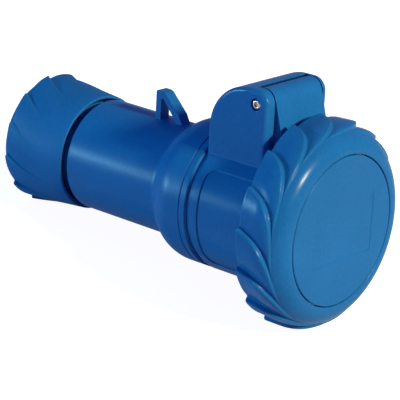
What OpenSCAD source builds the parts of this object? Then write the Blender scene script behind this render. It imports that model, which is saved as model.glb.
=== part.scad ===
// Pin and sleeve cable socket with hinged lid, bayonet ring and cable gland.
// The axis runs along +X from the mouth of the cable seal to the lid, +Z points to the hinge, sizes in mm.

/* [Housing] */
// distance from the mouth of the cable seal to the lid face
lid_x = 124.4; // [123:0.1:128]
// outer radius of the plug sleeve and of the ball end
sleeve_r = 26.1; // [25.6:0.1:26.6]
// wall thickness of the plug sleeve
sleeve_wall = 3.8; // [3.4:0.1:4.2]
// distance from the lid face back to the sleeve rim
rim_setback = 9.5; // [9.2:0.1:10]
// distance from the lid face back to the joint groove
groove_setback = 46.9; // [46:0.1:48]
// width of the joint groove
groove_w = 2.0; // [1.4:0.1:2.6]
// depth of the joint groove
groove_depth = 0.9; // [0.5:0.1:1.2]
// length of the spigot inside the handle
spigot_len = 9.2; // [8.6:0.1:9.6]
// wall thickness of the spigot
spigot_wall = 1.9; // [1.7:0.1:2.1]
// distance from the bulkhead to the label panel
panel_setback = 2.9; // [2.5:0.1:3.5]
// reach of the label panel above the middle
panel_up = 15.9; // [14:0.1:17]
// reach of the label panel below the middle
panel_down = 18.4; // [17:0.1:19]
// corner radius of the label panel
panel_corner = 4; // [3:0.5:5]
// depth of the label panel
panel_depth = 0.35; // [0.2:0.05:0.5]
// depth of the keyway inside the sleeve
keyway_depth = 1.6; // [1:0.1:2]
// width of the keyway
keyway_w = 7.0; // [5:0.5:9]

/* [Handle] */
// radius of the grip
grip_r = 20.5; // [20.2:0.1:20.8]
// wall thickness of the handle
handle_wall = 2.7; // [2.2:0.1:3.0]
// start of the grip at the gland gap
grip_start = 13.6; // [13.2:0.1:14]
// station where the rounded end reaches full radius
ball_x = 67.8; // [67:0.1:68.5]
// rounding radius of that end
ball_r = 14; // [12:0.5:16]
// outer radius of the threaded neck
neck_r = 18.1; // [17.8:0.1:18.2]
// inner radius of the neck that holds the seal
neck_bore_r = 14.2; // [13.8:0.1:14.4]
// length of the neck behind the seal mouth
neck_back = 3.5; // [3.3:0.1:3.9]

/* [Hanging eye] */
// thickness of the eye
eye_t = 4.5; // [3.5:0.1:5.5]
// rear edge of the eye
eye_x = 39.8; // [39:0.1:40.5]
// height of the eye above the grip
eye_h = 10.3; // [9.5:0.1:11]
// length of the eye along the grip
eye_len = 12.8; // [12:0.1:14]
// width of the material round the hole
eye_bar = 2.4; // [2.1:0.1:2.7]

/* [Hinge] */
// pin centre behind the lid face
pin_setback = 27.1; // [26.8:0.1:27.4]
// pin centre height above the sleeve
pin_rise = 15.1; // [14.8:0.1:15.5]
// pin radius
pin_r = 1.75; // [1.6:0.05:1.9]
// radial clearance of the pin in the hinge plate
pin_clear = 0.05; // [0.03:0.01:0.08]
// distance from the middle to the near side of the hood
hood_half = 17.1; // [16.8:0.1:17.4]
// thickness of the near ear
ear_t = 4.2; // [3.9:0.1:4.4]
// thickness of the far ear
far_ear_t = 2.2; // [2:0.1:4.4]
// radius of the ears round the pin
ear_tip_r = 4.9; // [4.7:0.1:5.1]
// radius of the rear arc of the hood
hood_arc = 16.7; // [16.2:0.1:17]
// wall thickness of the hood
hood_wall = 2.6; // [2.2:0.1:3]
// edge rounding of the ears
ear_round = 1.4; // [1:0.1:1.8]
// depth of the counterbores round the pin ends
pin_recess = 1.2; // [0.8:0.1:1.4]
// radius of the hinge plate's knuckle
knuckle_r = 4.9; // [4.7:0.1:5.1]
// forward lean of the hinge plate in degrees
arm_lean = 16; // [14:0.5:18]
// gap between the knuckle and the hood's front lip
knuckle_gap = 0.7; // [0.6:0.05:0.9]
// side gap between hinge plate and ear
hinge_gap = 0.6; // [0.4:0.1:0.8]

/* [Lid and ring] */
// flat width of the ring's front lip
lip_land = 0.85; // [0.7:0.05:1.1]
// gap round the lid face
face_gap = 0.35; // [0.3:0.05:0.45]
// wall thickness of the locking ring under its scales
ring_wall = 3.6; // [3.3:0.1:3.9]
// gap between the bayonet ramps and the ring
ring_clear = 1.8; // [1.6:0.1:2.0]
// gap between the sleeve and the lid's neck
neck_gap = 1.6; // [1.4:0.1:1.8]
// width of the shallow field on the lid face
field_w = 32.4; // [28:0.1:34]
// height of that field
field_h = 20.8; // [18:0.1:24]
// depth of that field
field_depth = 0.1; // [0.1:0.05:0.3]
// length of the locking ring
ring_len = 16.6; // [16.3:0.1:16.9]
// length of the ring's front dome
dome_len = 10.5; // [9:0.1:12]
// radial drop of the ring's front dome
dome_drop = 8.0; // [7:0.1:8.2]
// thickness of the ring's front lip
lip_t = 4.0; // [3.8:0.1:4.2]
// thickness of the lid flange behind the lip
flange_t = 3.5; // [3.3:0.1:3.7]
// axial gap between lip and flange
lip_gap = 0.4; // [0.3:0.05:0.5]
// radial gap between ring and lid flange
flange_gap = 0.6; // [0.5:0.05:0.7]
// gap between the bayonet lugs and the sleeve
lug_clear = 2.1; // [1.9:0.1:2.3]
// angular width of a bayonet lug
lug_span = 34; // [28:1:36]
// height of the bayonet ramps above the sleeve
ramp_h = 4.1; // [3.7:0.1:4.3]
// angular width of a bayonet ramp
ramp_span = 42; // [36:1:44]
// axial thickness of ramps
ramp_t = 2.2; // [2:0.1:2.4]
// gap between lug and ramp
ramp_gap = 0.4; // [0.35:0.05:0.5]
// turn of the ring from open to locked
lock_turn = 45; // [42:1:48]
// wire thickness of the ring retainer
wire_d = 1.2; // [1:0.05:1.3]
// depth of the lid seal in its groove
seal_depth = 1.0; // [0.8:0.1:1.4]

/* [Scales] */
// number of scales on the locking ring
ring_scales = 16; // [14:1:18]
// step height of a ring scale
ring_step = 1.5; // [1:0.1:1.6]
// axial reach of a ring scale
ring_reach = 12.9; // [11:0.1:13.5]
// slant of a ring ridge in degrees per mm
ring_lean = 0.6; // [0.3:0.05:1]
// sweep of a ring ridge at its end in degrees
ring_bend = 26; // [18:1:32]
// number of scales on the gland nut
nut_scales = 12; // [10:1:14]
// step height of a nut scale
nut_step = 1.1; // [1:0.1:1.6]
// axial reach of a nut scale
nut_reach = 17; // [12:0.5:20]
// slant of a nut ridge in degrees per mm
nut_lean = 1.75; // [1:0.05:2]
// wall of the nut's front lip
nut_lip = 1.1; // [1:0.1:1.6]

/* [Gland] */
// distance from the mouth of the seal back to the nut's rear face
nut_back = 16.5; // [16.2:0.1:17]
// length of the gland nut
nut_len = 28.0; // [27.6:0.1:28.2]
// front radius of the gland nut
nut_front_r = 21.4; // [21.2:0.1:21.8]
// rear base radius of the gland nut
nut_rear_r = 23.6; // [23.2:0.1:24]
// radial clearance of the nut on the neck
nut_clear = 0.3; // [0.3:0.05:0.4]
// cable entry radius of the nut
nut_entry_r = 8.6; // [8.2:0.1:9]
// radius of the cable bore in the seal
cable_r = 6.0; // [5.5:0.1:6.5]
// length of the seal
gland_seal_len = 9.5; // [9:0.1:9.8]
// clearance of pieces inside the neck
neck_clear = 0.1; // [0.05:0.05:0.2]

/* [Contacts] */
// distance from the edge of the carrier to the contact axes
contact_inset = 6.7; // [6.5:0.1:6.9]
// pin radius of the phase and neutral contacts
pin_ln_r = 2.5; // [2.4:0.05:2.6]
// pin radius of the earth contact
pin_pe_r = 3.5; // [3.4:0.05:3.6]
// radial clearance of a pin in its sleeve
contact_clear = 0.05; // [0.03:0.01:0.08]
// wall of a contact sleeve
contact_wall = 0.9; // [0.8:0.05:1]
// slot width of a contact sleeve
contact_slot = 0.8; // [0.6:0.1:1]
// gap round the carrier that takes the sleeve of the plug
plug_gap = 4.0; // [3.8:0.1:4.3]
// distance from the sleeve rim back to the carrier face
carrier_setback = 6.5; // [6:0.1:7.5]
// widening of the pin entries at the carrier face
entry_flare = 0.9; // [0.6:0.1:1.2]
// angle between earth and the other contacts
contact_angle = 105; // [100:1:110]
// length of a terminal behind the cover
terminal_len = 11; // [10:0.5:12]
// place of the clamping screw from the terminal's end
terminal_inset = 4.5; // [4:0.1:5]
// radius of a clamping screw
screw_r = 1.5; // [1.3:0.1:1.7]
// radius of the carrier's screws
carrier_screw_r = 0.9; // [0.8:0.05:1]
// radius of their heads
carrier_head_r = 1.4; // [1.2:0.05:1.45]
// thickness of their heads
carrier_head_t = 1.3; // [1:0.1:1.6]
// width of the screw slots
slot_w = 0.5; // [0.4:0.05:0.6]

/* [Hidden] */
$fn = 96;
eps = 0.01;
blue = [0.10, 0.36, 0.62];
groove_x = lid_x - groove_setback;
handle_end = groove_x - groove_w / 2;
rim_x = lid_x - rim_setback;
sleeve_bore_r = sleeve_r - sleeve_wall;
spigot_r = sleeve_r - handle_wall;
spigot_x = handle_end - spigot_len;
spigot_bore_r = spigot_r - spigot_wall;
fit = 0.05;
ball_angle = 180 - asin((grip_r + 0.9 - sleeve_r + ball_r) / ball_r);
ball_start = ball_x + ball_r * cos(ball_angle);
pin_x = lid_x - pin_setback;
pin_z = sleeve_r + pin_rise;
hood_top = pin_z + ear_tip_r;
ear_in = hood_half - ear_t;
hood_far = ear_in + far_ear_t;
arm_half = ear_in - hinge_gap;
hood_cx = pin_x - 3.5;
hood_cz = hood_top - hood_arc;
hood_rear = hood_cx - hood_arc;
ear_front = pin_x + ear_tip_r;
ramp_r = sleeve_r + ramp_h;
lug_r = sleeve_r + lug_clear;
ring_bore_r = ramp_r + ring_clear;
ring_r = ring_bore_r + ring_wall;
face_r = ring_r - dome_drop - lip_land - face_gap;
ring_x = lid_x - ring_len;
lip_x = lid_x - lip_t;
flange_x = lip_x - lip_gap;
flange_rear = flange_x - flange_t;
flange_r = ring_bore_r - flange_gap;
neck_under = sleeve_r + neck_gap;
// foot of the leaning hinge plate, where it meets the neck
arm_front = pin_x + knuckle_r * cos(arm_lean) + (pin_z + knuckle_r * sin(arm_lean) - flange_r) * tan(arm_lean);
ramp_x = rim_x - ramp_t;
lug_front = ramp_x - ramp_gap;
lug_t = lug_front - ring_x - 1.2;
seal_in = sleeve_bore_r + 0.5;
seal_out = sleeve_r - 0.4;
wire_r = face_r + 0.05;
wire_x = lip_x + lip_t * 0.42;
carrier_r = sleeve_bore_r - plug_gap;
contact_pitch_r = carrier_r - contact_inset;
screw_circle_r = (carrier_r + spigot_bore_r) / 2;
carrier_front = rim_x - carrier_setback;
bulkhead_x = groove_x + 1.2;
bulkhead_t = 3.6;
flange_back = bulkhead_x - 4;
cover_t = 3;
cover_x = flange_back - cover_t;
shoulder_x = bulkhead_x + 5;
terminal_x = cover_x - terminal_len;
contact_end = carrier_front - 2.4;
spring_x = contact_end - 5;
wire_bore_r = 1.9;
neck_start = -neck_back;
seal_seat_x = gland_seal_len;
seal_rear_x = 0;
nut_x = -nut_back;
nut_end = nut_x + nut_len;
nut_bore_r = neck_r + nut_clear;
cage_tip_x = nut_x + 2.6;
cage_r = neck_bore_r - neck_clear;
washer_t = 1.0;
cage_front_x = seal_rear_x - washer_t;

// quarter or other arc as a list of points
function arc(cx, cy, r, a0, a1, n) =
    [for (i = [0:n]) [cx + r * cos(a0 + (a1 - a0) * i / n), cy + r * sin(a0 + (a1 - a0) * i / n)]];

// turns a profile of [x, radius] points round the X axis
module turned(points) {
    rotate([0, 90, 0])
    rotate([0, 0, 180])
    rotate_extrude()
    polygon([for (q = points) [q[1], q[0]]]);
}

// cylinder along X between two stations
module bar_x(x0, x1, r) {
    translate([x0, 0, 0])
    rotate([0, 90, 0])
    cylinder(h = x1 - x0, r = r);
}

// tube along X
module tube_x(x0, x1, r_out, r_in) {
    difference() {
        bar_x(x0, x1, r_out);
        bar_x(x0 - 1, x1 + 1, r_in);
    }
}

// sector of a tube along X, centred on an angle from +Y to +Z
module sector_x(x0, x1, r_out, r_in, mid, span) {
    translate([x0, 0, 0])
    rotate([mid - span / 2, 0, 0])
    rotate([90, 0, 90])
    rotate_extrude(angle = span)
    translate([r_in, 0])
    square([r_out - r_in, x1 - x0]);
}

// flat plate in the X-Z plane, spread along Y
module plate_y(y0, y1, points) {
    translate([0, y1, 0])
    rotate([90, 0, 0])
    linear_extrude(y1 - y0)
    polygon(points);
}

// rows of a scaled skin: station, base radius, step height and turn of the ridges
scale_rows = 14;
function ring_turn(f) = ring_lean * ring_reach * sin(90 * f) + ring_bend * pow(1 - cos(90 * f), 1.6);
function nut_turn(f) = nut_lean * nut_reach * f * (1 - 0.38 * f);

// drum whose skin carries overlapping scales, each one highest along its own ridge
module scale_drum(rows, count, phase) {
    us = [0, 0.03, 0.11, 0.42, 0.70, 0.96];
    hs = [0.66, 0.92, 0.88, 0.58, 0.20, -0.20];
    nu = len(us);
    n = count * nu;
    pitch = 360 / count;
    last = len(rows) - 1;
    pts = [for (q = rows) for (i = [0:n - 1])
        let (k = floor(i / nu), a = phase - q[3] - (k + us[i - k * nu]) * pitch, r = q[1] + q[2] * hs[i - k * nu])
        [q[0], -r * cos(a), r * sin(a)]];
    skin = [for (j = [0:last - 1]) for (i = [0:n - 1])
        let (a = j * n + i, b = j * n + (i + 1) % n, c = a + n, d = b + n)
        each [[a, c, b], [b, c, d]]];
    low = [for (i = [0:n - 1]) i];
    high = [for (i = [0:n - 1]) last * n + n - 1 - i];
    polyhedron(points = pts, faces = concat(skin, [low], [high]), convexity = 6);
}

// section across the hood, from a centre to an outer edge with both corners rounded
module hood_section(edge) {
    translate([0, -hood_far])
    square([edge - ear_round, hood_half + hood_far]);
    translate([0, ear_round - hood_far])
    square([edge, hood_half + hood_far - 2 * ear_round]);
    for (y = [ear_round - hood_far, hood_half - ear_round])
        translate([edge - ear_round, y])
        circle(r = ear_round);
}

// that section turned round a centre between two angles from +X to +Z
module hood_corner(x, z, edge, from, to) {
    translate([x, 0, z])
    rotate([90, 0, 0])
    rotate([0, 0, from])
    rotate_extrude(angle = to - from)
    hood_section(edge);
}

// that section drawn straight on, clockwise from a centre and an outward angle
module hood_edge(x, z, edge, outward, length) {
    translate([x, 0, z])
    rotate([90, 0, 0])
    rotate([0, 0, outward])
    rotate([90, 0, 0])
    linear_extrude(length)
    hood_section(edge);
}

module hood_body() {
    hood_edge(hood_cx, 0, hood_arc, 180, hood_cz);
    hood_corner(hood_cx, hood_cz, hood_arc, 90, 180);
    hood_edge(hood_cx, hood_cz, hood_arc, 90, pin_x - hood_cx);
    hood_corner(pin_x, pin_z, ear_tip_r, 0, 90);
    hood_edge(pin_x, pin_z, ear_tip_r, 0, pin_z);
    plate_y(-hood_half, hood_far, [[hood_cx, 0], [hood_cx, hood_cz], [pin_x, hood_cz], [pin_x, 0]]);
}

module hood() {
    difference() {
        hood_body();
        // room for the hinge plate, open to the front and to the top
        plate_y(-ear_in, ear_in, concat(
            arc(hood_cx, hood_cz, hood_arc - hood_wall, 180, 104, 16),
            arc(pin_x, pin_z, knuckle_r + knuckle_gap, 140, 123, 6),
            [[pin_x + 1, hood_top + 9], [ear_front + 20, hood_top + 9], [ear_front + 20, sleeve_bore_r - 2.3],
            [hood_rear + hood_wall, sleeve_bore_r - 2.3]]));
        // hole of the pin with a counterbore at both ends
        translate([pin_x, 0, pin_z])
        rotate([90, 0, 0])
        cylinder(h = 4 * hood_half, r = pin_r + 0.02, center = true);
        for (y = [-hood_half, hood_far])
            translate([pin_x, y, pin_z])
            rotate([90, 0, 0])
            cylinder(h = 2 * pin_recess, r = pin_r + 0.45, center = true);
    }
}

module label_panel() {
    x = bulkhead_x + panel_setback;
    intersection() {
        tube_x(x, ramp_x - 4, sleeve_r + 1, sleeve_r - panel_depth);
        translate([0, -sleeve_r / 2, 0])
        rotate([90, 0, 0])
        linear_extrude(sleeve_r)
        union() {
            translate([x, panel_corner - panel_down])
            square([rim_x - x, panel_up + panel_down - 2 * panel_corner]);
            translate([x + panel_corner, -panel_down])
            square([rim_x - x, panel_up + panel_down]);
            for (z = [panel_corner - panel_down, panel_up - panel_corner])
                translate([x + panel_corner, z])
                circle(r = panel_corner);
        }
    }
}

module socket_housing() {
    color(blue)
    difference() {
        union() {
            turned([[spigot_x, 0], [spigot_x, spigot_r - 0.6], [spigot_x + 0.6, spigot_r], [handle_end, spigot_r],
                [handle_end, sleeve_r - groove_depth], [handle_end + groove_w, sleeve_r - groove_depth],
                [handle_end + groove_w, sleeve_r - 0.5], [handle_end + groove_w + 0.5, sleeve_r],
                [rim_x - 1, sleeve_r], [rim_x, sleeve_r - 1], [rim_x, 0]]);
            for (m = [0, 180])
                sector_x(ramp_x, rim_x, ramp_r, sleeve_r - 1, m, ramp_span);
            intersection() {
                hood();
                translate([hood_rear - 5, -2 * sleeve_r, sleeve_bore_r - 7.3])
                cube([3 * hood_arc + 10, 4 * sleeve_r, hood_top]);
            }
        }
        bar_x(bulkhead_x + bulkhead_t, rim_x + 1, sleeve_bore_r);
        bar_x(bulkhead_x - 1, bulkhead_x + bulkhead_t + 1, carrier_r + fit);
        bar_x(spigot_x - 1, bulkhead_x, spigot_bore_r);
        // groove of the seal ring on the spigot
        tube_x(spigot_x + 3, spigot_x + 5, spigot_r + 1, spigot_r - 1);
        // keyway at the low side of the sleeve
        translate([bulkhead_x + bulkhead_t, -keyway_w / 2, -sleeve_bore_r - keyway_depth])
        cube([rim_x - bulkhead_x, keyway_w, sleeve_bore_r]);
        // chamfered mouth
        turned([[rim_x - 1, 0], [rim_x - 1, sleeve_bore_r], [rim_x + eps, sleeve_bore_r + 0.8], [rim_x + eps, 0]]);
        label_panel();
        for (a = [0, 180])
            rotate([a, 0, 0])
            translate([0, screw_circle_r, 0])
            bar_x(bulkhead_x - 1, bulkhead_x + bulkhead_t - 0.6, carrier_screw_r);
    }
}

module eye() {
    low = grip_r - 2;
    top = grip_r + eye_h;
    difference() {
        plate_y(-eye_t / 2, eye_t / 2, concat(
            [[eye_x, low]],
            arc(eye_x + 0.6, top - 0.6, 0.6, 180, 90, 4),
            arc(eye_x + 2.4, top - 3.2, 3.2, 90, 40, 6),
            [[eye_x + eye_len - 1.8, grip_r + 0.3 * eye_h], [eye_x + eye_len - 0.2, grip_r], [eye_x + eye_len, low]]));
        plate_y(-eye_t, eye_t, concat(
            [[eye_x + eye_bar, grip_r - 0.3]],
            arc(eye_x + eye_bar + 0.7, top - eye_bar - 0.9, 0.7, 180, 45, 4),
            [[eye_x + eye_len - 1.35 * eye_bar, grip_r + 0.6], [eye_x + eye_len - 1.35 * eye_bar, grip_r - 0.3]]));
    }
}

module handle() {
    color(blue)
    difference() {
        union() {
            turned(concat(
                [[neck_start, 0], [neck_start, neck_r - 0.8], [neck_start + 0.8, neck_r], [grip_start, neck_r],
                [grip_start, grip_r - 0.8], [grip_start + 0.8, grip_r]],
                [[ball_start - 2.0, grip_r], [ball_start - 1.0, grip_r + 0.12], [ball_start - 0.2, grip_r + 0.45]],
                arc(ball_x, sleeve_r - ball_r, ball_r, ball_angle, 90, 24),
                [[handle_end - 3.4, sleeve_r], [handle_end - 3.2, sleeve_r - 0.25], [handle_end - 2.9, sleeve_r - 0.25],
                [handle_end - 2.7, sleeve_r], [handle_end - 0.6, sleeve_r], [handle_end, sleeve_r - 0.6],
                [handle_end, 0]]));
            eye();
        }
        // hollow of the grip and of the ball end
        turned(concat(
            [[grip_start + 2.5, 0], [grip_start + 2.5, grip_r - handle_wall]],
            [[ball_start + 1, grip_r - handle_wall]],
            [[spigot_x - 0.8, spigot_r - 3]],
            [[spigot_x - 0.8, spigot_r + fit], [handle_end + 1, spigot_r + fit], [handle_end + 1, 0]]));
        bar_x(neck_start - 1, seal_seat_x, neck_bore_r);
        bar_x(seal_seat_x - 1, grip_start + 4, neck_bore_r - 3);
    }
}

module housing_o_ring() {
    color([0.07, 0.07, 0.08])
    translate([spigot_x + 4, 0, 0])
    rotate([0, 90, 0])
    rotate_extrude()
    translate([spigot_r - 0.48, 0])
    circle(r = 0.5, $fn = 24);
}

// positions of the contacts: angle from +Y to +Z and pin radius
function contact_at(i) = [-90 + (i == 0 ? 0 : i == 1 ? contact_angle : -contact_angle), i == 0 ? pin_pe_r : pin_ln_r];
function sleeve_out(i) = contact_at(i)[1] + contact_clear + contact_wall;

module at_contact(i) {
    rotate([contact_at(i)[0], 0, 0])
    translate([0, contact_pitch_r, 0])
    children();
}

module contact(i) {
    r = contact_at(i)[1] + contact_clear;
    ro = sleeve_out(i);
    color([0.80, 0.62, 0.28])
    at_contact(i)
    difference() {
        turned([[terminal_x, 0], [terminal_x, ro - 0.1], [flange_back, ro - 0.1], [flange_back, ro + 0.9],
            [shoulder_x, ro + 0.9], [shoulder_x, ro], [contact_end - 0.4, ro], [contact_end, ro - 0.4], [contact_end, 0]]);
        bar_x(shoulder_x + 2, contact_end + 1, r);
        bar_x(terminal_x - 1, cover_x - 0.5, wire_bore_r);
        for (a = [0, 90])
            rotate([a, 0, 0])
            translate([shoulder_x + 8, -contact_slot / 2, -2 * ro])
            cube([contact_end - shoulder_x, contact_slot, 4 * ro]);
        tube_x(spring_x - 0.55, spring_x + 0.55, ro + 1, ro - 0.4);
        translate([terminal_x + terminal_inset, 0, 0])
        rotate([-90, 0, 0])
        cylinder(h = 2 * ro, r = screw_r + fit);
    }
}

module spring_ring(i) {
    ro = sleeve_out(i);
    color([0.62, 0.63, 0.65])
    at_contact(i)
    translate([spring_x, 0, 0])
    rotate([0, 90, 0])
    rotate_extrude()
    translate([ro + 0.02, 0])
    circle(r = 0.4, $fn = 20);
}

module contact_pe() { contact(0); }
module contact_l() { contact(1); }
module contact_n() { contact(2); }
module spring_pe() { spring_ring(0); }
module spring_l() { spring_ring(1); }
module spring_n() { spring_ring(2); }

// insulating segment of the carrier round one contact, between two angles
module carrier(i, a0, a1) {
    ro = sleeve_out(i);
    color([0.24, 0.25, 0.27])
    difference() {
        rotate([a0, 0, 0])
        rotate([90, 0, 90])
        rotate_extrude(angle = a1 - a0)
        polygon([[0, flange_back], [spigot_bore_r - 0.1, flange_back], [spigot_bore_r - 0.1, bulkhead_x],
            [carrier_r, bulkhead_x], [carrier_r, carrier_front - 0.8], [carrier_r - 0.8, carrier_front],
            [0, carrier_front]]);
        at_contact(i) {
            bar_x(flange_back - 1, shoulder_x, ro + 0.95);
            bar_x(shoulder_x - 1, contact_end + 0.3, ro + 0.5);
            turned([[contact_end, 0], [contact_end, contact_at(i)[1] + 0.3],
                [carrier_front + eps, contact_at(i)[1] + entry_flare], [carrier_front + eps, 0]]);
        }
        for (a = [0, 180])
            rotate([a, 0, 0])
            translate([0, screw_circle_r, 0])
            bar_x(flange_back - 1, bulkhead_x + 1, carrier_screw_r + 0.1);
    }
}

// joints between the segments lie half way between two contacts
split_low = -90 + contact_angle / 2;
module carrier_pe() { carrier(0, -180 - split_low, split_low); }
module carrier_l() { carrier(1, split_low, 90); }
module carrier_n() { carrier(2, 90, 180 - split_low); }

module carrier_cover() {
    color([0.80, 0.80, 0.76])
    difference() {
        tube_x(cover_x, flange_back, carrier_r - 0.6, 2);
        for (i = [0:2])
            at_contact(i)
            bar_x(cover_x - 1, flange_back + 1, sleeve_out(i));
    }
}

module terminal_screws() {
    color([0.66, 0.67, 0.70])
    for (i = [0:2])
        at_contact(i)
        difference() {
            translate([terminal_x + terminal_inset, wire_bore_r * 0.6, 0])
            rotate([-90, 0, 0])
            cylinder(h = sleeve_out(i) + 1.2 - wire_bore_r * 0.6, r = screw_r);
            translate([terminal_x + terminal_inset - 2 * screw_r, sleeve_out(i) + 0.5, -slot_w / 2])
            cube([4 * screw_r, 2 * screw_r, slot_w]);
        }
}

module carrier_screws() {
    color([0.66, 0.67, 0.70])
    for (a = [0, 180])
        rotate([a, 0, 0])
        translate([0, screw_circle_r, 0])
        difference() {
            union() {
                bar_x(flange_back - carrier_head_t, flange_back, carrier_head_r);
                bar_x(flange_back - 0.5, bulkhead_x + bulkhead_t - 1, carrier_screw_r - 0.02);
            }
            translate([flange_back - 1.6 * carrier_head_t, -slot_w / 2, -2 * carrier_head_r])
            cube([carrier_head_t, slot_w, 4 * carrier_head_r]);
        }
}

module gland_seal() {
    color([0.08, 0.08, 0.09])
    difference() {
        turned([[seal_rear_x, 0], [seal_rear_x, cage_r - 0.8], [seal_rear_x + 0.8, cage_r], [seal_seat_x, cage_r],
            [seal_seat_x, 0]]);
        bar_x(seal_rear_x - 1, seal_seat_x + 1, cable_r);
    }
}

module gland_washer() {
    color([0.82, 0.82, 0.80])
    tube_x(cage_front_x, seal_rear_x, cage_r, cable_r + 1.6);
}

module gland_cage() {
    color([0.70, 0.71, 0.72])
    difference() {
        turned([[cage_tip_x, 0], [cage_tip_x, nut_entry_r + 0.9], [neck_start - 0.7, cage_r - 1.9],
            [neck_start + 0.3, cage_r - 0.3], [cage_front_x, cage_r - 0.3], [cage_front_x, 0]]);
        bar_x(nut_x, seal_rear_x, cable_r + 1.4);
        for (i = [0:3])
            rotate([45 * i, 0, 0])
            translate([cage_tip_x - 1, -0.7, -30])
            cube([neck_start - 1.4 - cage_tip_x + 1, 1.4, 60]);
    }
}

// base radius of the gland nut at a station
function nut_base(x) = nut_rear_r - (nut_rear_r - nut_front_r) * (x - nut_x) / nut_len;

module gland_nut() {
    tip = nut_x + 2.6;
    rows = concat(
        [[nut_x - 0.05, nut_base(nut_x) - 3.55, 0, 0]],
        [for (i = [1:5]) [nut_x + 2.2 * (1 - cos(18 * i)), nut_base(nut_x) - 3.2 + 2.4 * sin(18 * i), 0, 0]],
        [for (j = [0:scale_rows])
            let (f = j / scale_rows, x = tip + nut_reach * f)
            [x, nut_base(x), nut_step * pow(1 - f, 1.15), nut_turn(f)]],
        [for (d = [-0.45, 0.05]) [nut_end + d, nut_base(nut_end) - 0.45 - d, 0, nut_turn(1)]]);
    color(blue)
    difference() {
        scale_drum(rows, nut_scales, 24);
        turned([[nut_x - 1, 0], [nut_x - 1, 2 * nut_rear_r], [nut_x, 2 * nut_rear_r], [nut_x, nut_entry_r + 0.6],
            [nut_x + 0.6, nut_entry_r], [cage_tip_x - 0.4, nut_entry_r],
            [cage_tip_x - 0.4, nut_entry_r + 1.25], [neck_start - 0.7, cage_r - 1.5],
            [neck_start - 0.7, nut_bore_r], [nut_end - 5, nut_bore_r], [nut_end - 5, nut_front_r - nut_lip],
            [nut_end, nut_front_r - nut_lip], [nut_end, 2 * nut_rear_r], [nut_end + 1, 2 * nut_rear_r],
            [nut_end + 1, 0]]);
    }
}

module hinge_pin() {
    color([0.78, 0.78, 0.78])
    translate([pin_x, 0, pin_z])
    rotate([90, 0, 0])
    difference() {
        translate([0, 0, -hood_far + 0.15])
        cylinder(h = hood_far + hood_half - 0.3, r = pin_r);
        for (z = [-hood_far, hood_half])
            translate([0, 0, z])
            cylinder(h = 1.5, r = pin_r / 2, center = true);
    }
}

module lid() {
    color(blue)
    difference() {
        union() {
            turned([[flange_rear, 0], [flange_rear, flange_r], [flange_x, flange_r], [flange_x, face_r],
                [lid_x - 0.3, face_r], [lid_x, face_r - 0.3], [lid_x, 0]]);
            // neck over the sleeve, inside the ring
            intersection() {
                tube_x(pin_x + 0.6, flange_rear + 1, flange_r, neck_under);
                translate([pin_x, -arm_half, 0])
                cube([pin_setback, 2 * arm_half, 2 * ring_r]);
            }
            // hinge plate with knuckle
            difference() {
                plate_y(-arm_half, arm_half, concat(
                    arc(pin_x, pin_z, knuckle_r, 200, arm_lean, 30),
                    [[arm_front, flange_r], [arm_front, neck_under - 6], [pin_x + 0.6, neck_under - 6],
                    [pin_x + 0.6, pin_z - knuckle_r + 0.4]]));
                bar_x(0, 2 * lid_x, neck_under);
            }
        }
        translate([pin_x, 0, pin_z])
        rotate([90, 0, 0])
        cylinder(h = 4 * hood_half, r = pin_r + pin_clear, center = true);
        // groove of the seal
        tube_x(flange_rear - 1, flange_rear + seal_depth, seal_out, seal_in);
        // groove of the retainer
        tube_x(wire_x - wire_d / 2 - 0.1, wire_x + wire_d / 2 + 0.1, face_r + 1, wire_r - wire_d / 2 - 0.05);
        // shallow field on the face
        translate([lid_x - field_depth, -field_w / 2, -field_h / 2])
        cube([1, field_w, field_h]);
    }
}

module lid_seal() {
    color([0.08, 0.08, 0.09])
    tube_x(rim_x, flange_rear + seal_depth, seal_out, seal_in);
}

// base radius of the locking ring at a station: straight skirt, then an oval dome
dome_x = lid_x - dome_len;
function ring_base(x) = ring_r - dome_drop * (1 - sqrt(1 - pow(max(0, x - dome_x) / dome_len, 2)));

module lock_ring() {
    end = ring_x + ring_reach;
    a0 = asin((end - dome_x) / dome_len);
    lip_r = face_r + face_gap;
    groove_r = wire_r + wire_d / 2 + 0.3;
    groove_half = wire_d / 2 + 0.3;
    // the skin starts behind the ring and ends in front of it, both ends are cut flat
    rows = concat(
        [for (j = [-1:scale_rows])
            let (f = j / scale_rows, x = ring_x + ring_reach * sin(90 * f))
            if (j != 0) [x, ring_base(x), ring_step * (1 - pow(f, 4)), ring_turn(f)]],
        [for (j = [1:7])
            let (a = a0 + (90 - a0) * j / 8)
            [dome_x + dome_len * sin(a), ring_r - dome_drop * (1 - cos(a)), 0, ring_turn(1)]],
        [[lid_x + 0.05, ring_r - dome_drop - 0.6, 0, ring_turn(1)]]);
    color(blue)
    difference() {
        scale_drum(rows, ring_scales, 8);
        difference() {
            turned([[ring_x - 5, 0], [ring_x - 5, 2 * ring_r], [ring_x, 2 * ring_r], [ring_x, ring_bore_r],
                [lip_x, ring_bore_r], [lip_x, lip_r], [wire_x - groove_half, lip_r], [wire_x - groove_half, groove_r],
                [wire_x + groove_half, groove_r], [wire_x + groove_half, lip_r], [lid_x, lip_r], [lid_x, 2 * ring_r],
                [lid_x + 1, 2 * ring_r], [lid_x + 1, 0]]);
            for (m = [0, 180])
                sector_x(lug_front - lug_t, lug_front, ring_bore_r + 1, lug_r, m - lock_turn, lug_span);
        }
    }
}

module ring_retainer() {
    color([0.62, 0.63, 0.65])
    translate([wire_x, 0, 0])
    rotate([0, 90, 0])
    rotate([0, 0, 6])
    rotate_extrude(angle = 348)
    translate([wire_r, 0])
    circle(r = wire_d / 2, $fn = 24);
}

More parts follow.
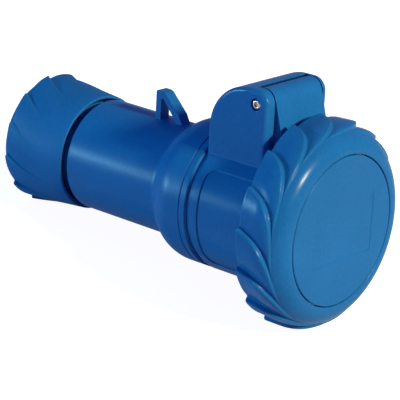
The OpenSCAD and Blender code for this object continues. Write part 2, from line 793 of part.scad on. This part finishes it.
handle();
socket_housing();
housing_o_ring();
carrier_l();
carrier_n();
carrier_pe();
carrier_cover();
contact_l();
contact_n();
contact_pe();
spring_l();
spring_n();
spring_pe();
terminal_screws();
carrier_screws();
gland_seal();
gland_washer();
gland_cage();
gland_nut();
hinge_pin();
lid();
lid_seal();
lock_ring();
ring_retainer();
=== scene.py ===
"""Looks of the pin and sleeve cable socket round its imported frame, +X to the lid and +Z to the hinge."""
import math

import bpy
import numpy as np
from mathutils import Matrix, Vector


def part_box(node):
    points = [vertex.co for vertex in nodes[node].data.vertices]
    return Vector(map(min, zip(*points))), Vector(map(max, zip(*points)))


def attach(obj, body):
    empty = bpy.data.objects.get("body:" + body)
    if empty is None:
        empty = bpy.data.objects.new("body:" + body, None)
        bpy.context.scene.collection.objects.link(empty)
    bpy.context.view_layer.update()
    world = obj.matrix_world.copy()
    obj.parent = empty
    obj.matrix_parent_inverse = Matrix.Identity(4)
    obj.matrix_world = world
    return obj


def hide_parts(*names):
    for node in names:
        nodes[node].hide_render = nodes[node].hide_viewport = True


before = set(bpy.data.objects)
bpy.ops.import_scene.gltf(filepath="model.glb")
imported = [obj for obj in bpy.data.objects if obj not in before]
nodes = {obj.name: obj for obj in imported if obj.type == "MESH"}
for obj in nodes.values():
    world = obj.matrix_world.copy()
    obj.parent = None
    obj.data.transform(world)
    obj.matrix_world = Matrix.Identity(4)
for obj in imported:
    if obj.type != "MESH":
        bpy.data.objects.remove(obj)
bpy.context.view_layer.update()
scene = bpy.context.scene
MM = 0.001

# sizes in mm and angles in degrees, most of them shared with the source

# front face of the lid and of the locking ring
LID_X = 124.4

# locking ring: body, domed front, inner lip, groove of the wire, scales, edges, tool that trims both ends
RING = dict(x=107.8, r=35.6, bore=32.0,
            dome_len=10.5, dome_drop=8.0,
            lip_x=120.4, lip_r=26.75,
            wire_x=122.08, wire_half=0.9, wire_r=27.35,
            count=16, step=1.5, reach=12.9, fade=4, lean=0.6, bend=26.0, bend_power=1.6, phase=8.0,
            bore_edge=0.4, lip_edge=0.25, cap_out=0.02, cap_in=0.5,
            trim_rear=5, trim_front=2, trim_r=60)
# rear edge of the ring: offset along X and drop of the radius
RING_EDGE = ((-0.1, 0.40), (0.06, 0.24), (0.16, 0.10), (0.32, 0.0))
RING_ROWS, DOME_ROWS, RING_SEGMENTS = 36, 20, 288

# lugs inside the ring; the root reaches into its wall
LUG = dict(front=112.3, rear=109.0, r=28.2, root=1.0, span=34.0, mids=(-45.0, 135.0), steps=30)

# gland nut: body, scales, rounded rear end, cone over the cage, front lip, tool that trims both ends
NUT = dict(x=-16.5, end=11.5, front_r=21.4, rear_r=23.6, entry=8.6, bore=18.4,
           count=12, step=1.1, reach=17.0, fade=1.15, lean=1.75, ease=0.38, phase=24.0, tip=2.6,
           round_len=2.2, round_rise=2.4, round_in=3.2, cap_out=0.05, cap_in=3.55,
           cage_tip=-13.9, cage_gap=0.4, cone_rear=1.25,
           cage_r=14.1, cone_front=1.5, neck=-3.5, neck_gap=0.7,
           lip=1.1, lip_len=5, lip_edge=0.2, trim=1)
# cable mouth of the nut: offset along X and growth of the radius
NUT_MOUTH = ((0.0, 0.8), (0.15, 0.4), (0.8, 0.0))
# front edge of the nut: offset along X and drop of the radius
NUT_EDGE = ((-0.45, 0.0), (-0.28, 0.05), (-0.14, 0.16), (-0.05, 0.30), (0.05, 0.50))
NUT_ROWS, NUT_ROUND_ROWS, NUT_SEGMENTS = 40, 10, 240

# thread on the neck: the ridge's shape is offset along X and height, and it fades and thins at both ends
THREAD = dict(x=-2.2, r=18.08, pitch=2.0, turns=6.4, steps=72, fade_steps=18, thin=0.3,
              shape=((-0.75, -0.05), (-0.42, 0.2), (0.42, 0.2), (0.75, -0.05)))

# hinge pin: axis, hollow in each end, chamfer and its slope along the pin, rounded corners
PIN = dict(x=97.3, z=41.2, hollow=0.88, depth=0.6, chamfer=0.42, slope=0.45,
           corner=0.1, floor_corner=0.15, fine_corner=0.05, segments=96)

# edges sharper than these angles stay sharp
NODE_ANGLE, SKIN_ANGLE, THREAD_ANGLE = 28, 32, 35


# meshes

def add_object(name, verts, faces):
    """Mesh object in metres from points in mm."""
    points = [tuple(float(c) * MM for c in v) for v in verts]
    mesh = bpy.data.meshes.new(name)
    mesh.from_pydata(points, [], [[int(i) for i in f] for f in faces])
    mesh.validate()
    mesh.update()
    obj = bpy.data.objects.new(name, mesh)
    scene.collection.objects.link(obj)
    return obj


def smooth(obj, angle):
    """Smooth shading with sharp edges above an angle in degrees."""
    mesh = obj.data
    if mesh.has_custom_normals:
        mesh.attributes.remove(mesh.attributes["custom_normal"])
    mesh.polygons.foreach_set("use_smooth", [True] * len(mesh.polygons))
    mesh.set_sharp_from_angle(angle=math.radians(angle))


def paint(obj, material):
    """Gives a piece one material."""
    obj.data.materials.clear()
    obj.data.materials.append(material)


def turned(name, profile, segments):
    """Closed solid turned round X from (x, r) points in mm; the first and last lie on the axis."""
    verts = [(profile[0][0], 0, 0), (profile[-1][0], 0, 0)]
    rings = profile[1:-1]
    for x, r in rings:
        for i in range(segments):
            a = 2 * math.pi * i / segments
            verts.append((x, r * math.cos(a), r * math.sin(a)))

    def at(j, i):
        return 2 + j * segments + i % segments
    last = len(rings) - 1
    faces = [(0, at(0, i + 1), at(0, i)) for i in range(segments)]
    for j in range(last):
        faces += [(at(j, i), at(j, i + 1), at(j + 1, i + 1), at(j + 1, i)) for i in range(segments)]
    faces += [(1, at(last, i), at(last, i + 1)) for i in range(segments)]
    return add_object(name, verts, faces)


def sector(name, x0, x1, r0, r1, mid, span, steps):
    """Closed block of a tube along X, angles from +Y to +Z in degrees."""
    verts = []
    for i in range(steps + 1):
        a = math.radians(mid - span / 2 + span * i / steps)
        for x, r in ((x0, r0), (x1, r0), (x1, r1), (x0, r1)):
            verts.append((x, r * math.cos(a), r * math.sin(a)))
    faces = [(0, 3, 2, 1), tuple(4 * steps + k for k in range(4))]
    for i in range(steps):
        for k in range(4):
            m = (k + 1) % 4
            faces.append((4 * i + k, 4 * i + m, 4 * i + 4 + m, 4 * i + 4 + k))
    return add_object(name, verts, faces)


def cut(obj, *tools):
    """Subtracts the tools from obj and removes them."""
    for tool in tools:
        mod = obj.modifiers.new("cut", "BOOLEAN")
        mod.operation = "DIFFERENCE"
        mod.solver = "EXACT"
        mod.object = tool
    bpy.context.view_layer.update()
    depsgraph = bpy.context.evaluated_depsgraph_get()
    mesh = bpy.data.meshes.new_from_object(obj.evaluated_get(depsgraph))
    obj.modifiers.clear()
    old = obj.data
    obj.data = mesh
    bpy.data.meshes.remove(old)
    mesh.name = obj.name
    for tool in tools:
        bpy.data.objects.remove(tool)


# height of a scale across its pitch: steep riser, rounded crest, long fall
SCALE_U = np.array([0, 0.03, 0.11, 0.42, 0.70, 0.96])
SCALE_H = np.array([0.66, 0.92, 0.88, 0.58, 0.20, -0.20])
# the pitch is split here, and each part gets the same number of stations
SCALE_PARTS = (0, 0.12, 0.9, 1)
SCALE_STATIONS = 8


def scale_profile():
    """Stations and heights of one scale, a smooth closed curve through the corner values."""
    u = np.concatenate([SCALE_U - 1, SCALE_U, SCALE_U + 1])
    h = np.tile(SCALE_H, 3)
    slope = np.gradient(h, u)
    # flat where the curve turns, so that crest and foot stay crisp
    d = np.diff(h) / np.diff(u)
    for i in range(1, len(u) - 1):
        if d[i - 1] * d[i] <= 0:
            slope[i] = 0
    want = np.concatenate([np.linspace(start, end, SCALE_STATIONS + 1)[:-1]
                           for start, end in zip(SCALE_PARTS, SCALE_PARTS[1:])])
    k = np.clip(np.searchsorted(u, want, side="right") - 1, 0, len(u) - 2)
    w = u[k + 1] - u[k]
    t = (want - u[k]) / w
    a = (1 + 2 * t) * (1 - t) ** 2 * h[k] + t * (1 - t) ** 2 * w * slope[k]
    b = t * t * (3 - 2 * t) * h[k + 1] + t * t * (t - 1) * w * slope[k + 1]
    return want, a + b


def scale_drum(name, rows, count, phase):
    """Closed drum with scales; a row is x, base radius, step height and turn in degrees."""
    us, hs = scale_profile()
    n = count * len(us)
    k = np.repeat(np.arange(count), len(us))
    u = np.tile(us, count)
    h = np.tile(hs, count)
    verts = []
    for x, r, step, turn in rows:
        a = np.radians(phase - turn - (k + u) * 360 / count)
        radius = r + step * h
        verts += list(zip([x] * n, -radius * np.cos(a), radius * np.sin(a)))
    faces = []
    for j in range(len(rows) - 1):
        for i in range(n):
            a, b = j * n + i, j * n + (i + 1) % n
            faces.append((a, a + n, b + n, b))
    last = (len(rows) - 1) * n
    faces += [tuple(range(n)), tuple(last + n - 1 - i for i in range(n))]
    return add_object(name, verts, faces)


def ring_base(x):
    """Base radius of the locking ring, straight and then domed."""
    t = max(0.0, x - (LID_X - RING["dome_len"])) / RING["dome_len"]
    return RING["r"] - RING["dome_drop"] * (1 - math.sqrt(1 - t * t))


def ring_rows():
    """Rows of the locking ring's drum: rear edge, scales that curl and fade, smooth dome."""
    q = RING
    rows = [(q["x"] + d, q["r"] - drop, q["step"], q["lean"] * d) for d, drop in RING_EDGE]
    for j in range(1, RING_ROWS + 1):
        f = j / RING_ROWS
        quarter = math.radians(90 * f)
        s = q["reach"] * math.sin(quarter)
        turn = q["lean"] * s + q["bend"] * (1 - math.cos(quarter)) ** q["bend_power"]
        rows.append((q["x"] + s, ring_base(q["x"] + s), q["step"] * (1 - f ** q["fade"]), turn))
    start = math.degrees(math.asin((q["x"] + q["reach"] - LID_X + q["dome_len"]) / q["dome_len"]))
    for j in range(1, DOME_ROWS):
        a = math.radians(start + (90 - start) * j / DOME_ROWS)
        x = LID_X - q["dome_len"] * (1 - math.sin(a))
        rows.append((x, q["r"] - q["dome_drop"] * (1 - math.cos(a)), 0, turn))
    rows.append((LID_X + q["cap_out"], q["r"] - q["dome_drop"] - q["cap_in"], 0, turn))
    return rows


def make_ring():
    """Locking ring with the solid's scales in more steps."""
    q = RING
    drum = scale_drum("lock_ring_skin", ring_rows(), q["count"], q["phase"])
    rear, front = q["x"] - q["trim_rear"], LID_X + q["trim_front"]
    wire_rear, wire_front = q["wire_x"] - q["wire_half"], q["wire_x"] + q["wire_half"]
    profile = [(rear, 0), (rear, q["trim_r"]), (q["x"], q["trim_r"]),
               (q["x"], q["bore"] + q["bore_edge"]), (q["x"] + q["bore_edge"], q["bore"]),
               (q["lip_x"], q["bore"]), (q["lip_x"], q["lip_r"]),
               (wire_rear, q["lip_r"]), (wire_rear, q["wire_r"]),
               (wire_front, q["wire_r"]), (wire_front, q["lip_r"]),
               (LID_X - q["lip_edge"], q["lip_r"]), (LID_X, q["lip_r"] + q["lip_edge"]),
               (LID_X, q["trim_r"]), (front, q["trim_r"]), (front, 0)]
    bore = turned("ring_bore", profile, RING_SEGMENTS)
    lugs = [sector("lug", LUG["rear"], LUG["front"], LUG["r"], q["bore"] + LUG["root"], mid,
                   LUG["span"], LUG["steps"]) for mid in LUG["mids"]]
    cut(bore, *lugs)
    cut(drum, bore)
    smooth(drum, SKIN_ANGLE)
    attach(drum, "ring")
    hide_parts("lock_ring")
    return drum


def nut_base(x):
    """Base radius of the gland nut, which tapers to the front."""
    q = NUT
    return q["rear_r"] - (q["rear_r"] - q["front_r"]) * (x - q["x"]) / (q["end"] - q["x"])


def nut_rows():
    """Rows of the gland nut's drum: rounded rear end, scales that lean and fade, front edge."""
    q = NUT
    rows = [(q["x"] - q["cap_out"], q["rear_r"] - q["cap_in"], 0, 0)]
    for i in range(1, NUT_ROUND_ROWS + 1):
        a = math.radians(90 * i / NUT_ROUND_ROWS)
        r = q["rear_r"] - q["round_in"] + q["round_rise"] * math.sin(a)
        rows.append((q["x"] + q["round_len"] * (1 - math.cos(a)), r, 0, 0))
    for j in range(NUT_ROWS + 1):
        f = j / NUT_ROWS
        x = q["x"] + q["tip"] + q["reach"] * f
        turn = q["lean"] * q["reach"] * f * (1 - q["ease"] * f)
        rows.append((x, nut_base(x), q["step"] * (1 - f) ** q["fade"], turn))
    rows += [(q["end"] + d, nut_base(q["end"]) - drop, 0, turn) for d, drop in NUT_EDGE]
    return rows


def make_nut():
    """Gland nut with the solid's scales in more steps."""
    q = NUT
    drum = scale_drum("gland_nut_skin", nut_rows(), q["count"], q["phase"])
    wide = 2 * q["rear_r"]
    cone_rear, cone_front = q["cage_tip"] - q["cage_gap"], q["neck"] - q["neck_gap"]
    lip_r, lip_x = q["front_r"] - q["lip"], q["end"] - q["lip_len"]
    rear, front = q["x"] - q["trim"], q["end"] + q["trim"]
    profile = [(rear, 0), (rear, wide), (q["x"], wide)]
    profile += [(q["x"] + d, q["entry"] + grow) for d, grow in NUT_MOUTH]
    profile += [(cone_rear, q["entry"]), (cone_rear, q["entry"] + q["cone_rear"]),
                (cone_front, q["cage_r"] - q["cone_front"]), (cone_front, q["bore"]),
                (lip_x, q["bore"]), (lip_x, lip_r),
                (q["end"] - q["lip_edge"], lip_r), (q["end"], lip_r + q["lip_edge"]),
                (q["end"], wide), (front, wide), (front, 0)]
    cut(drum, turned("nut_bore", profile, NUT_SEGMENTS))
    smooth(drum, SKIN_ANGLE)
    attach(drum, "nut")
    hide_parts("gland_nut")
    return drum


def make_thread():
    """Rolled thread on the neck: one ridge that winds round it and fades at both ends."""
    q = THREAD
    total = int(q["turns"] * q["steps"])
    verts = []
    for i in range(total + 1):
        a = 2 * math.pi * i / q["steps"]
        fade = min(1, i / q["fade_steps"], (total - i) / q["fade_steps"])
        width = q["thin"] + (1 - q["thin"]) * fade
        for dx, height in q["shape"]:
            r = q["r"] + (height if height < 0 else height * fade)
            x = q["x"] + q["pitch"] * i / q["steps"] + dx * width
            verts.append((x, r * math.cos(a), r * math.sin(a)))
    m = len(q["shape"])
    faces = []
    for i in range(total):
        for k in range(m):
            n = (k + 1) % m
            faces.append((i * m + k, i * m + n, (i + 1) * m + n, (i + 1) * m + k))
    faces += [tuple(range(m - 1, -1, -1)), tuple(total * m + k for k in range(m))]
    obj = add_object("neck_thread", verts, faces)
    smooth(obj, THREAD_ANGLE)
    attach(obj, "housing")
    return obj


def make_pin():
    """Hinge pin with hollow ends, and a chamfer round each end."""
    q = PIN
    low, high = (np.array(c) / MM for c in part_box("hinge_pin"))
    r = (high[0] - low[0]) / 2
    length = high[1] - low[1]
    edge = r - q["chamfer"]
    half = [(q["depth"], 0), (q["depth"], q["hollow"] - q["corner"]),
            (q["depth"] - q["floor_corner"], q["hollow"]),
            (q["corner"], q["hollow"]), (0, q["hollow"] + q["corner"]),
            (0, edge - q["corner"]), (q["fine_corner"], edge),
            (q["slope"], r - q["fine_corner"]), (q["slope"] + q["corner"], r)]
    profile = half + [(length - x, radius) for x, radius in reversed(half)]
    pin = turned("hinge_pin_skin", profile, q["segments"])
    place = Matrix.Translation((q["x"] * MM, low[1] * MM, q["z"] * MM))
    pin.data.transform(place @ Matrix.Rotation(math.pi / 2, 4, "Z"))
    smooth(pin, SKIN_ANGLE)
    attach(pin, "housing")
    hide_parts("hinge_pin")
    return pin


# materials, with noise scales per metre and depths in metres

# most of a noise lies between these values
NOISE_SPAN = (0.3, 0.7)
# cosine between the rounded and the flat normal where the lighter edge, part wear and part painted
# highlight, starts and where it is full
WEAR_AND_HIGHLIGHT_SPAN = (0.985, 0.80)
BEVEL_SAMPLES = 6
# plastic: shares of flow marks and specks in the tone, spread of tone and roughness, share of the lighter
# edges, which are part wear and part painted highlight
FLOW_SHARE, SPECK_SHARE = 0.7, 0.3
TONE_SPREAD, ROUGH_SPREAD = 0.10, 0.05
WEAR_AND_HIGHLIGHT_SHARE = 0.5
# metal: how far the lines smooth or roughen it, and the stretch of the noise that draws them
SMOOTHER, ROUGHER = 0.07, 0.10
ALONG_Y = (1.0, 0.12, 1.0)
ALONG_X = (0.15, 1.0, 1.0)
LONG_ALONG_X = (0.10, 1.0, 1.0)
# soft border of the copper tone, as a share of the hollow's radius
TONE_BORDER = 0.15
# colour sockets of a Mix node
MIX_FACTOR, MIX_A, MIX_B, MIX_RESULT = 0, 6, 7, 2


def linear(rgb):
    """sRGB 0..255 to linear RGBA."""
    out = []
    for c in rgb:
        c /= 255
        out.append(c / 12.92 if c <= 0.04045 else ((c + 0.055) / 1.055) ** 2.4)
    return (*out, 1.0)


def scaled(colour, factor, lift=0.0):
    """Opaque colour, scaled and lifted."""
    return tuple(min(1, c * factor + lift) for c in colour[:3]) + (1.0,)


def feed(tree, socket, value):
    """Links a socket to another one, or sets its value."""
    if isinstance(value, bpy.types.NodeSocket):
        tree.links.new(value, socket)
    else:
        socket.default_value = value


def add_math(tree, operation, *values):
    """Math node on sockets or numbers."""
    n = tree.nodes.new("ShaderNodeMath")
    n.operation = operation
    for socket, value in zip(n.inputs, values):
        feed(tree, socket, value)
    return n.outputs[0]


class Shader:
    """Small helper round a new material's node tree."""

    def __init__(self, name):
        self.mat = bpy.data.materials.new(name)
        self.mat.use_nodes = True
        self.tree = self.mat.node_tree
        self.bsdf = self.tree.nodes["Principled BSDF"]
        self.coord = self.tree.nodes.new("ShaderNodeTexCoord").outputs["Object"]

    def node(self, kind, **inputs):
        """Node with sockets or values on its inputs."""
        n = self.tree.nodes.new(kind)
        for key, value in inputs.items():
            feed(self.tree, n.inputs[key], value)
        return n

    def put(self, name, value):
        """Sets or links a socket of the Principled shader."""
        feed(self.tree, self.bsdf.inputs[name], value)

    def noise(self, scale, detail, rough, stretch=None):
        """Noise round the piece's own coordinates."""
        vector = self.coord
        if stretch:
            vector = self.node("ShaderNodeMapping", Vector=self.coord, Scale=stretch).outputs["Vector"]
        return self.node("ShaderNodeTexNoise", Vector=vector, Scale=scale, Detail=detail,
                         Roughness=rough).outputs["Fac"]

    def remap(self, value, span, to=(0.0, 1.0)):
        """Value moved from one span to another, clamped."""
        n = self.tree.nodes.new("ShaderNodeMapRange")
        for socket, v in zip(n.inputs, (value, *span, *to)):
            feed(self.tree, socket, v)
        return n.outputs["Result"]

    def mix(self, factor, a, b):
        """Colour between a and b."""
        n = self.tree.nodes.new("ShaderNodeMix")
        n.data_type = "RGBA"
        feed(self.tree, n.inputs[MIX_FACTOR], factor)
        feed(self.tree, n.inputs[MIX_A], a)
        feed(self.tree, n.inputs[MIX_B], b)
        return n.outputs[MIX_RESULT]

    def vector(self, operation, *values):
        """Outputs of a vector math node."""
        n = self.tree.nodes.new("ShaderNodeVectorMath")
        n.operation = operation
        for socket, value in zip(n.inputs, values):
            feed(self.tree, socket, value)
        return n.outputs

    def rounded(self, radius):
        """Normal with rounded edges."""
        n = self.tree.nodes.new("ShaderNodeBevel")
        n.samples = BEVEL_SAMPLES
        n.inputs["Radius"].default_value = radius
        return n.outputs["Normal"]

    def wear_and_highlight(self, normal):
        """1 on edges that are lightened, partly for wear and partly as a painted highlight, 0 elsewhere.
        """
        flat = self.tree.nodes.new("ShaderNodeNewGeometry").outputs["Normal"]
        return self.remap(self.vector("DOT_PRODUCT", normal, flat)["Value"], WEAR_AND_HIGHLIGHT_SPAN)

    def bump(self, height, strength, distance, normal):
        """Normal with a fine relief."""
        return self.node("ShaderNodeBump", Strength=strength, Distance=distance, Height=height,
                         Normal=normal).outputs["Normal"]


def plastic(name, rgb, rough=0.23, grain=3200.0, depth=0.00003, wear_and_highlight_lift=0.8, bevel=0.0003):
    """Moulded plastic with faint flow marks and specks, a fine grain and lighter edges, partly wear and
    partly a painted highlight.
    """
    s = Shader(name)
    base = linear(rgb)
    flow = s.noise(scale=45.0, detail=3.0, rough=0.55)
    fine = s.noise(scale=grain, detail=2.0, rough=0.6)
    speck = s.noise(scale=900.0, detail=2.0, rough=0.5)
    specks = s.remap(speck, NOISE_SPAN, to=(0.0, SPECK_SHARE))
    tone = s.remap(add_math(s.tree, "MULTIPLY_ADD", flow, FLOW_SHARE, specks), span=(0.25, 0.75))
    colour = s.mix(tone, scaled(base, 1 - TONE_SPREAD), scaled(base, 1 + TONE_SPREAD))
    normal = s.rounded(bevel)
    # lighter edges: partly wear, partly a painted highlight along the rounded edges
    wear_and_highlight = add_math(s.tree, "MULTIPLY", s.wear_and_highlight(normal), WEAR_AND_HIGHLIGHT_SHARE)
    s.put("Base Color", s.mix(wear_and_highlight, colour, scaled(base, 1 + wear_and_highlight_lift)))
    s.put("Roughness", s.remap(fine, NOISE_SPAN, to=(rough - ROUGH_SPREAD, rough + ROUGH_SPREAD)))
    s.put("Normal", s.bump(fine, strength=0.35, distance=depth, normal=normal))
    s.put("Specular IOR Level", 0.12)
    return s.mat


def brushed(name, rgb, rough, stretch, spots=0.24):
    """Shader of a metal with fine lines along one direction and duller spots."""
    s = Shader(name)
    base = linear(rgb)
    lines = s.noise(scale=900.0, detail=4.0, rough=0.65, stretch=stretch)
    stain = s.noise(scale=260.0, detail=3.0, rough=0.6)
    s.put("Base Color", s.mix(s.remap(stain, span=(0.35, 0.7)), base, scaled(base, 1 - spots)))
    s.put("Roughness", s.remap(lines, NOISE_SPAN, to=(rough - SMOOTHER, rough + ROUGHER)))
    s.put("Normal", s.bump(lines, strength=0.25, distance=0.00002, normal=s.rounded(radius=0.00015)))
    s.put("Metallic", 1.0)
    return s


def pin_steel(name, rgb, hollow):
    """Bright steel with a copper tone in the hollows, round the pin's axis, which runs along Y."""
    s = brushed(name, rgb, rough=0.30, stretch=ALONG_Y)
    away = s.vector("SUBTRACT", s.coord, (PIN["x"] * MM, 0, PIN["z"] * MM))["Vector"]
    flat = s.vector("MULTIPLY", away, (1, 0, 1))["Vector"]
    radius = PIN["hollow"] * MM
    border = (radius * (1 + TONE_BORDER), radius * (1 - TONE_BORDER))
    inside = s.remap(s.vector("LENGTH", flat)["Value"], span=border)
    bright = s.bsdf.inputs["Base Color"].links[0].from_socket
    s.put("Base Color", s.mix(inside, bright, linear(hollow)))
    return s.mat


def rubber(name, rgb):
    """Dull rubber with dusty clouds."""
    s = Shader(name)
    base = linear(rgb)
    cloud = s.noise(scale=160.0, detail=4.0, rough=0.6)
    fine = s.noise(scale=2600.0, detail=3.0, rough=0.65)
    s.put("Base Color", s.mix(s.remap(cloud, span=(0.4, 0.75)), base, scaled(base, 1.6, lift=0.004)))
    s.put("Roughness", s.remap(cloud, NOISE_SPAN, to=(0.62, 0.78)))
    s.put("Normal", s.bump(fine, strength=0.5, distance=0.00004, normal=s.rounded(radius=0.0002)))
    s.put("Specular IOR Level", 0.3)
    return s.mat


BLUE = (28, 100, 162)
blue = plastic("blue_plastic", BLUE, bevel=0.0006)
grained_blue = plastic("grained_blue", BLUE, rough=0.32, grain=2600.0, depth=0.00005)
matt_blue = plastic("matt_blue", BLUE, rough=0.5, grain=2600.0, depth=0.00005)
carrier_grey = plastic("carrier_grey", (58, 60, 64), rough=0.55, grain=2200.0, wear_and_highlight_lift=0.32)
pale_plastic = plastic("pale_plastic", (205, 203, 194), rough=0.5, wear_and_highlight_lift=0.4)
cage_grey = plastic("cage_grey", (168, 171, 174), rough=0.5, wear_and_highlight_lift=0.48)
black_rubber = rubber("black_rubber", (24, 24, 26))
steel = brushed("bright_steel", (214, 212, 208), rough=0.26, stretch=ALONG_Y).mat
zinc = brushed("zinc_steel", (178, 181, 186), rough=0.36, stretch=ALONG_X).mat
brass = brushed("brass", (206, 168, 92), rough=0.30, stretch=LONG_ALONG_X, spots=0.20).mat
pin_metal = pin_steel("pin_steel", (248, 238, 232), hollow=(250, 178, 142))

LOOKS = {
    blue: ["lid", "lock_ring", "socket_housing"],
    grained_blue: ["handle"],
    matt_blue: ["gland_nut"],
    carrier_grey: ["carrier_l", "carrier_n", "carrier_pe"],
    pale_plastic: ["carrier_cover", "gland_washer"],
    cage_grey: ["gland_cage"],
    black_rubber: ["housing_o_ring", "gland_seal", "lid_seal"],
    pin_metal: ["hinge_pin"],
    steel: ["spring_l", "spring_n", "spring_pe", "ring_retainer"],
    zinc: ["terminal_screws", "carrier_screws"],
    brass: ["contact_l", "contact_n", "contact_pe"],
}
for material, names in LOOKS.items():
    for name in names:
        paint(nodes[name], material)
        smooth(nodes[name], NODE_ANGLE)

ring_skin = make_ring()
nut_skin = make_nut()
thread = make_thread()
pin_skin = make_pin()
paint(ring_skin, blue)
paint(nut_skin, matt_blue)
paint(thread, grained_blue)
paint(pin_skin, pin_metal)


# stage, in metres: a pale floor, faint blue light all round, a lamp above the front
# and a cool low lamp at the rear

# the floor's slope is searched for by halving up to the steepest one, and it stays a hair below the part
FLOOR = dict(half=3.0, gap=0.0002, steepest=0.3, halvings=40, lift=0.96, rough=0.9,
             colour=(0.5, 0.55, 0.6, 1), glow=(1, 0.97, 0.96, 1))
# in gloss, the white backdrop shows by a share and fades in towards the far side
BACKDROP_RAMP = 0.5
BACKDROP_GLOSS = 0.16
AMBIENT, AMBIENT_STRENGTH = (0.02, 0.27, 1.0, 1), 0.34
AIM = Vector((0.058, 0.0, 0.0))
LAMP_AWAY = 1.3
KEY = dict(direction=(0.88, 0.0, 0.47), size=(0.14, 0.14), colour=(1.0, 0.98, 0.66), watts=18.8)
SIDE = dict(direction=(-0.75, -0.66, 0.05), size=(0.35, 0.2), colour=(0.32, 0.85, 1.0), watts=21.5)
# camera fitted to the photo; sensor and lens in mm
CAMERA = dict(place=(0.5106, -0.5302, 0.2307), right=(0.75, 0.6593, 0.0519),
              back=(0.6124, -0.722, 0.3218), sensor=36.0, lens=185.8, far=20.0)


def lowest(obj, lean):
    """Height of an object's lowest point over a floor through the origin that falls by lean along +X."""
    co = np.empty(len(obj.data.vertices) * 3, np.float32)
    obj.data.vertices.foreach_get("co", co)
    co = co.reshape(-1, 3)
    return float((co[:, 2] + lean * co[:, 0]).min())


def background_ray(tree, gloss_share):
    """1 for rays that show the background, a share of it in gloss, 0 for light that falls on the part."""
    path = tree.nodes.new("ShaderNodeLightPath").outputs
    straight = add_math(tree, "MAXIMUM", path["Is Camera Ray"], path["Is Transmission Ray"])
    gloss = add_math(tree, "MULTIPLY", path["Is Glossy Ray"], gloss_share)
    return add_math(tree, "MAXIMUM", straight, gloss)


def far_side(tree):
    """1 towards the backdrop on the part's far side, 0 towards the dark room on its near side."""
    direction = tree.nodes.new("ShaderNodeTexCoord").outputs["Generated"]
    parts = tree.nodes.new("ShaderNodeSeparateXYZ")
    tree.links.new(direction, parts.inputs[0])
    ramp = tree.nodes.new("ShaderNodeMapRange")
    tree.links.new(parts.outputs["Y"], ramp.inputs["Value"])
    ramp.inputs["From Max"].default_value = BACKDROP_RAMP
    return ramp.outputs["Result"]


def floor_material():
    """Pale floor that shows white and keeps the part's shadow."""
    mat = bpy.data.materials.new("pale_floor")
    mat.use_nodes = True
    tree = mat.node_tree
    shade = tree.nodes["Principled BSDF"].inputs
    shade["Base Color"].default_value = FLOOR["colour"]
    shade["Roughness"].default_value = FLOOR["rough"]
    shade["Specular IOR Level"].default_value = 0.0
    shade["Emission Color"].default_value = FLOOR["glow"]
    lift = add_math(tree, "MULTIPLY", background_ray(tree, BACKDROP_GLOSS), FLOOR["lift"])
    tree.links.new(lift, shade["Emission Strength"])
    return mat


def light_world():
    """Faint ambient light on the part, and a white backdrop behind it."""
    scene.world = bpy.data.worlds.new("studio")
    scene.world.use_nodes = True
    tree = scene.world.node_tree
    ambient = tree.nodes["Background"]
    ambient.inputs["Color"].default_value = AMBIENT
    ambient.inputs["Strength"].default_value = AMBIENT_STRENGTH
    backdrop = tree.nodes.new("ShaderNodeBackground")
    backdrop.inputs["Color"].default_value = (1, 1, 1, 1)
    choose = tree.nodes.new("ShaderNodeMixShader")
    gloss_share = add_math(tree, "MULTIPLY", far_side(tree), BACKDROP_GLOSS)
    tree.links.new(background_ray(tree, gloss_share), choose.inputs[0])
    tree.links.new(ambient.outputs[0], choose.inputs[1])
    tree.links.new(backdrop.outputs[0], choose.inputs[2])
    tree.links.new(choose.outputs[0], tree.nodes["World Output"].inputs["Surface"])


def lamp(name, direction, size, colour, watts):
    """Area lamp that shines on the part from a direction."""
    data = bpy.data.lights.new(name, "AREA")
    data.shape = "RECTANGLE"
    data.size, data.size_y = size
    data.color = colour
    data.energy = watts
    obj = bpy.data.objects.new(name, data)
    scene.collection.objects.link(obj)
    d = Vector(direction).normalized()
    obj.location = AIM + d * LAMP_AWAY
    obj.rotation_euler = d.to_track_quat("Z", "Y").to_euler()


def place_camera():
    """Camera at the photo's viewing angle."""
    data = bpy.data.cameras.new("camera")
    data.sensor_fit = "HORIZONTAL"
    data.sensor_width = CAMERA["sensor"]
    data.lens = CAMERA["lens"]
    data.clip_end = CAMERA["far"]
    camera = bpy.data.objects.new("camera", data)
    scene.collection.objects.link(camera)
    right = Vector(CAMERA["right"]).normalized()
    back = Vector(CAMERA["back"])
    back = (back - right * back.dot(right)).normalized()
    turn = Matrix((right, back.cross(right), back)).transposed().to_4x4()
    camera.matrix_world = Matrix.Translation(CAMERA["place"]) @ turn
    scene.camera = camera


# the part lies on the rims of its ring and its nut, so the floor leans with it
low, high = 0.0, FLOOR["steepest"]
for _ in range(FLOOR["halvings"]):
    lean = (low + high) / 2
    if lowest(ring_skin, lean) < lowest(nut_skin, lean):
        low = lean
    else:
        high = lean
rest_z = lowest(ring_skin, lean) - FLOOR["gap"]
half = FLOOR["half"]
corners = [(x * half / MM, y * half / MM, (rest_z - lean * x * half) / MM)
           for x, y in ((-1, -1), (1, -1), (1, 1), (-1, 1))]
floor = add_object("floor", corners, [(0, 1, 2, 3)])
paint(floor, floor_material())

light_world()
lamp("key_light", **KEY)
lamp("side_light", **SIDE)
place_camera()
scene.view_settings.view_transform = "Standard"
